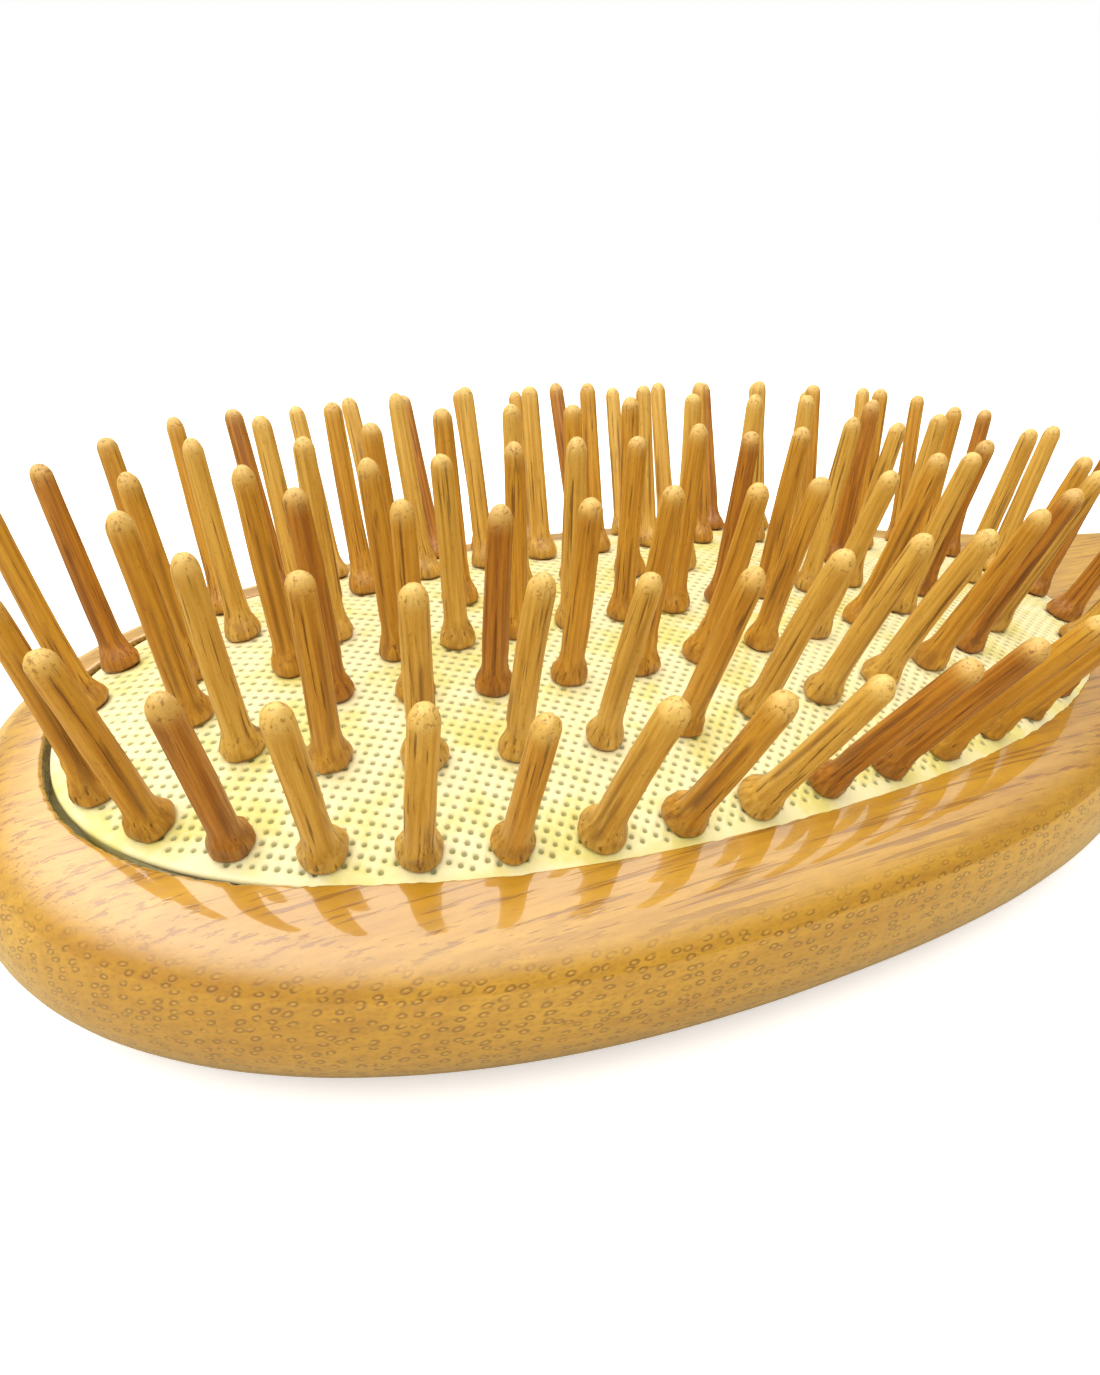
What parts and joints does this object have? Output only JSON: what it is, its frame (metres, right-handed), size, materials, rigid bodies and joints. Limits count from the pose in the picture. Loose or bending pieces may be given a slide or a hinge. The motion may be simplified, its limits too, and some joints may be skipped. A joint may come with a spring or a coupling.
{
  "type": "paddle hair brush",
  "caption": "Oval bamboo paddle hair brush: one-piece wooden head and handle, domed cream rubber air cushion, and round-tipped bamboo pins on oval rings.",
  "frame": {"origin": "centre of the bounding box on the flat back of the brush, which lies on the table", "axes": "+X from the toe of the head to the end of the handle, +Y across the head, +Z the way the pins point"},
  "size_m": [0.24, 0.08, 0.0409],
  "materials": {
    "bamboo_wood": "clear-varnished solid bamboo, gloss, fine lengthwise fibres",
    "cushion_rubber": "cream rubber sheet with a woven texture of small dimples",
    "pin_straw": "bare turned bamboo, pale straw",
    "pin_golden": "bare turned bamboo, golden",
    "pin_brown": "bare turned bamboo, scorched brown"
  },
  "bodies": {
    "root": {"bamboo_body": "bamboo_wood", "rubber_cushion": "cushion_rubber"},
    "pins_outer_front": {"pins_outer_front_1": "pin_straw", "pins_outer_front_2": "pin_brown", "pins_outer_front_3": "pin_golden", "pins_outer_front_4": "pin_straw"},
    "pins_outer_heel": {"pins_outer_heel_1": "pin_brown", "pins_outer_heel_2": "pin_golden", "pins_outer_heel_3": "pin_straw", "pins_outer_heel_4": "pin_brown"},
    "pins_outer_back": {"pins_outer_back_1": "pin_golden", "pins_outer_back_2": "pin_straw", "pins_outer_back_3": "pin_brown", "pins_outer_back_4": "pin_golden"},
    "pins_outer_toe": {"pins_outer_toe_1": "pin_straw", "pins_outer_toe_2": "pin_brown", "pins_outer_toe_3": "pin_golden"},
    "pins_second_front": {"pins_second_front_1": "pin_straw", "pins_second_front_2": "pin_brown", "pins_second_front_3": "pin_golden"},
    "pins_second_heel": {"pins_second_heel_1": "pin_straw", "pins_second_heel_2": "pin_brown", "pins_second_heel_3": "pin_golden"},
    "pins_second_back": {"pins_second_back_1": "pin_straw", "pins_second_back_2": "pin_brown", "pins_second_back_3": "pin_golden"},
    "pins_second_toe": {"pins_second_toe_1": "pin_straw", "pins_second_toe_2": "pin_brown", "pins_second_toe_3": "pin_golden"},
    "pins_third_front": {"pins_third_front_1": "pin_straw", "pins_third_front_2": "pin_brown"},
    "pins_third_heel": {"pins_third_heel_1": "pin_golden", "pins_third_heel_2": "pin_straw"},
    "pins_third_back": {"pins_third_back_1": "pin_brown", "pins_third_back_2": "pin_golden"},
    "pins_third_toe": {"pins_third_toe_1": "pin_straw", "pins_third_toe_2": "pin_brown"},
    "pins_centre_row": {"pins_centre_row_1": "pin_golden", "pins_centre_row_2": "pin_straw", "pins_centre_row_3": "pin_brown", "pins_centre_row_4": "pin_golden"}
  },
  "joints": [
    {"name": "cushion_press", "type": "slide", "parent": "root", "child": "pins_centre_row", "axis": [0, 0, -1], "range_m": [0, 0.002], "stiffness_N_per_m": 600, "deforming": ["rubber_cushion"]},
    {"name": "outer_front_settle", "type": "hinge", "parent": "root", "child": "pins_outer_front", "pos_m": [-0.05292, -0.03053, 0.01779], "axis": [-1, 0, 0], "range_deg": [0, 9.1]},
    {"name": "outer_heel_settle", "type": "hinge", "parent": "root", "child": "pins_outer_heel", "pos_m": [0.00162, -0.00099, 0.01756], "axis": [0, -1, 0], "range_deg": [0, 4.8]},
    {"name": "outer_back_settle", "type": "hinge", "parent": "root", "child": "pins_outer_back", "pos_m": [-0.05008, 0.03053, 0.01779], "axis": [1, 0, 0], "range_deg": [0, 9.1]},
    {"name": "outer_toe_settle", "type": "hinge", "parent": "root", "child": "pins_outer_toe", "pos_m": [-0.10388, 0.00134, 0.01757], "axis": [0, 1, 0], "range_deg": [0, 4.6]},
    {"name": "second_front_settle", "type": "hinge", "parent": "root", "child": "pins_second_front", "pos_m": [-0.05071, -0.04055, 0.01995], "axis": [-1, 0, 0], "range_deg": [0, 4.2]},
    {"name": "second_heel_settle", "type": "hinge", "parent": "root", "child": "pins_second_heel", "pos_m": [0.01249, -0.00073, 0.0193], "axis": [0, -1, 0], "range_deg": [0, 3.1]},
    {"name": "second_back_settle", "type": "hinge", "parent": "root", "child": "pins_second_back", "pos_m": [-0.05228, 0.0403, 0.01992], "axis": [1, 0, 0], "range_deg": [0, 4.1]},
    {"name": "second_toe_settle", "type": "hinge", "parent": "root", "child": "pins_second_toe", "pos_m": [-0.11548, -0.0017, 0.0193], "axis": [0, 1, 0], "range_deg": [0, 3]},
    {"name": "third_front_settle", "type": "hinge", "parent": "root", "child": "pins_third_front", "pos_m": [-0.05462, -0.1187, 0.02074], "axis": [-1, 0, 0], "range_deg": [0, 1.1]},
    {"name": "third_heel_settle", "type": "hinge", "parent": "root", "child": "pins_third_heel", "pos_m": [0.04357, -0.00053, 0.02032], "axis": [0, -1, 0], "range_deg": [0, 1.6]},
    {"name": "third_back_settle", "type": "hinge", "parent": "root", "child": "pins_third_back", "pos_m": [-0.05209, 0.11888, 0.02075], "axis": [1, 0, 0], "range_deg": [0, 1.1]},
    {"name": "third_toe_settle", "type": "hinge", "parent": "root", "child": "pins_third_toe", "pos_m": [-0.14158, 0.00061, 0.02026], "axis": [0, 1, 0], "range_deg": [0, 1.8]}
  ],
  "couplings": [
    {"joint": "outer_front_settle", "follows": "cushion_press", "rad_per_m": 78.965},
    {"joint": "outer_heel_settle", "follows": "cushion_press", "rad_per_m": 40.591},
    {"joint": "outer_back_settle", "follows": "cushion_press", "rad_per_m": 78.965},
    {"joint": "outer_toe_settle", "follows": "cushion_press", "rad_per_m": 39.612},
    {"joint": "second_front_settle", "follows": "cushion_press", "rad_per_m": 35.557},
    {"joint": "second_heel_settle", "follows": "cushion_press", "rad_per_m": 25.806},
    {"joint": "second_back_settle", "follows": "cushion_press", "rad_per_m": 35.157},
    {"joint": "second_toe_settle", "follows": "cushion_press", "rad_per_m": 25.73},
    {"joint": "third_front_settle", "follows": "cushion_press", "rad_per_m": 8.836},
    {"joint": "third_heel_settle", "follows": "cushion_press", "rad_per_m": 13.293},
    {"joint": "third_back_settle", "follows": "cushion_press", "rad_per_m": 8.8339},
    {"joint": "third_toe_settle", "follows": "cushion_press", "rad_per_m": 14.587}
  ]
}
